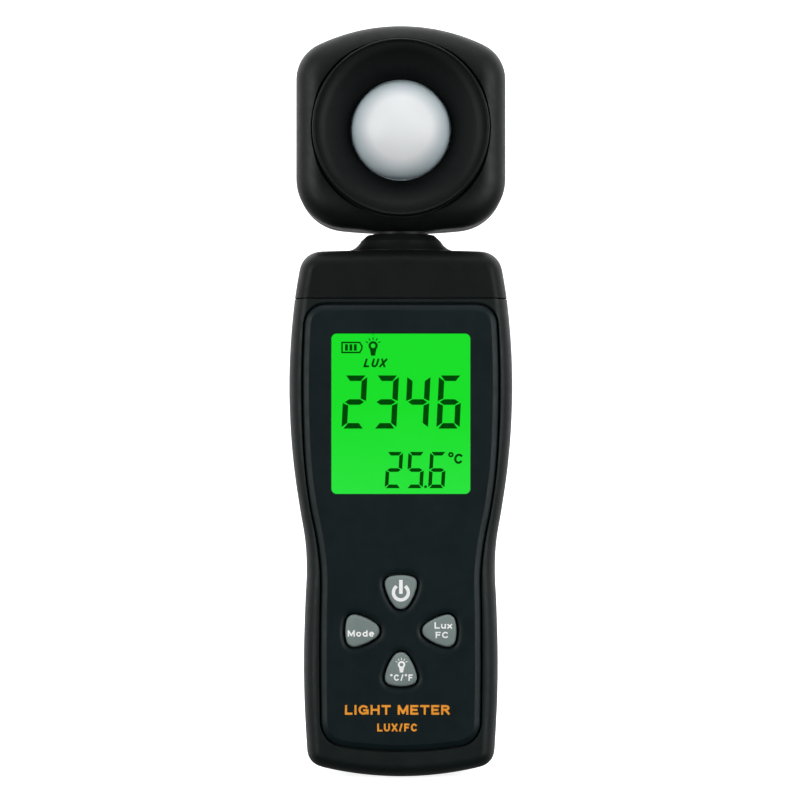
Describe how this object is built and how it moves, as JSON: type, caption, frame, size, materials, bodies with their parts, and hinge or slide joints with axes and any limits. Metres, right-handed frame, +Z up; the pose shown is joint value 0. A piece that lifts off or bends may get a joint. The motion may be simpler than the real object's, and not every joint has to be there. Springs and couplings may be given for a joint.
{
  "type": "handheld light meter",
  "caption": "Slim upright hand meter with a swivelling sensor head, domed diffuser in a dished hood, square lit display, rounded triangular keys and a snap battery cover.",
  "frame": {"origin": "middle of the meter's width and depth, at the height of its lowest point", "axes": "+Z up the meter from its foot to its sensor head, -Y towards the user from the display, +X to the right as the display is read"},
  "size_m": [0.0524, 0.028, 0.1762],
  "materials": {
    "casing": "fine satin",
    "plate": "smooth satin",
    "hood": "matte",
    "window": "polished",
    "display": "lit",
    "white_plastic": "moulded",
    "rubber": "matte",
    "key": "silk",
    "board": "solder mask",
    "chip": "moulded",
    "spring": "nickel plated",
    "brass": "bright",
    "cell": "printed sleeve",
    "screw": "dark zinc",
    "dome": "translucent",
    "filter": "polished",
    "lead": "insulation"
  },
  "bodies": {
    "case": {"front_case": "casing", "rear_case": "casing", "top_cap": "casing", "face_plate": "plate", "display_window": "window", "lcd_gasket": "rubber", "lcd_glass": "display", "lcd_frame": "white_plastic", "backlight_panel": "white_plastic", "backlight_led": "white_plastic", "zebra_strip": "rubber", "main_board": "board", "controller_chip": "chip", "thermistor": "chip", "lead_socket": "white_plastic", "keypad_sheet": "rubber", "battery_1": "cell", "battery_spring_1": "spring", "battery_plate_1": "brass", "battery_2": "cell", "battery_spring_2": "spring", "battery_plate_2": "brass", "battery_3": "cell", "battery_spring_3": "spring", "battery_plate_3": "brass", "case_screw_1": "screw", "case_screw_2": "screw", "case_screw_3": "screw", "case_screw_4": "screw", "board_screw_1": "screw", "board_screw_2": "screw", "board_screw_3": "screw", "board_screw_4": "screw"},
    "head": {"head_front_cover": "casing", "head_rear_cover": "casing", "sensor_hood": "hood", "diffuser_dome": "dome", "dome_retainer": "rubber", "optical_filter": "filter", "photodiode": "chip", "sensor_board": "board", "sensor_plug": "white_plastic", "swivel_neck": "hood", "retaining_ring": "spring", "wave_washer": "spring", "sensor_lead": "lead", "head_screw_1": "screw", "head_screw_2": "screw", "head_screw_3": "screw", "head_screw_4": "screw"},
    "door": {"battery_door": "casing"},
    "power": {"power_key": "key", "power_key_pill": "chip"},
    "mode": {"mode_key": "key", "mode_key_pill": "chip"},
    "lamp": {"lamp_key": "key", "lamp_key_pill": "chip"},
    "unit": {"unit_key": "key", "unit_key_pill": "chip"}
  },
  "joints": [
    {"name": "head_swivel", "type": "hinge", "parent": "case", "child": "head", "pos_m": [0, 0.001, 0.1265], "axis": [0, 0, 1], "range_deg": [-135, 135]},
    {"name": "door_hinge", "type": "hinge", "parent": "case", "child": "door", "pos_m": [0, 0.014, 0.00865], "axis": [-1, 0, 0], "range_deg": [0, 80]},
    {"name": "power_press", "type": "slide", "parent": "case", "child": "power", "axis": [0, 1, 0], "range_m": [0, 0.0008], "stiffness_N_per_m": 1500},
    {"name": "mode_press", "type": "slide", "parent": "case", "child": "mode", "axis": [0, 1, 0], "range_m": [0, 0.0008], "stiffness_N_per_m": 1500},
    {"name": "lamp_press", "type": "slide", "parent": "case", "child": "lamp", "axis": [0, 1, 0], "range_m": [0, 0.0008], "stiffness_N_per_m": 1500},
    {"name": "unit_press", "type": "slide", "parent": "case", "child": "unit", "axis": [0, 1, 0], "range_m": [0, 0.0008], "stiffness_N_per_m": 1500}
  ]
}
